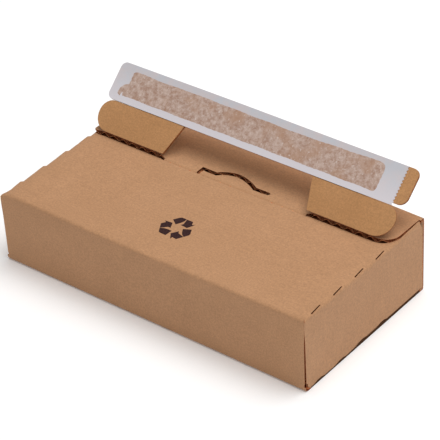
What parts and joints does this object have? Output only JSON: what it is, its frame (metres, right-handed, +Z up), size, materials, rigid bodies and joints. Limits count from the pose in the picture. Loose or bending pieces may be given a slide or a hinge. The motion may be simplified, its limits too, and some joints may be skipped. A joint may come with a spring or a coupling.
{
  "type": "corrugated mailer box",
  "caption": "Closed kraft corrugated mailer box with a hinged self-seal flap standing open: tabs, long strip, adhesive under its release paper, and a printed recycling mark on the lid.",
  "frame": {"origin": "on the floor, at the centre of the box's footprint", "axes": "+X along the box's length, -Y out of the front wall, +Z up through the lid"},
  "size_m": [0.19, 0.099, 0.0711],
  "materials": {
    "kraft_board": "matte brown kraft liner over corrugated board",
    "flap_board": "matte inner liner, a little darker and more orange",
    "hot_melt": "mottled translucent hot-melt coat",
    "release_paper": "thin translucent silicone paper with a faint gloss",
    "dark_ink": "matte dark print"
  },
  "bodies": {
    "carton": {"folded_carton": "kraft_board", "recycling_mark": "dark_ink"},
    "flap": {"seal_flap": "flap_board", "adhesive_strip": "hot_melt", "release_liner": "release_paper"}
  },
  "joints": [
    {"name": "seal_flap_fold", "type": "hinge", "parent": "carton", "child": "flap", "pos_m": [0, 0.0209, 0.0437], "axis": [1, 0, 0], "range_deg": [-38, 137]}
  ]
}
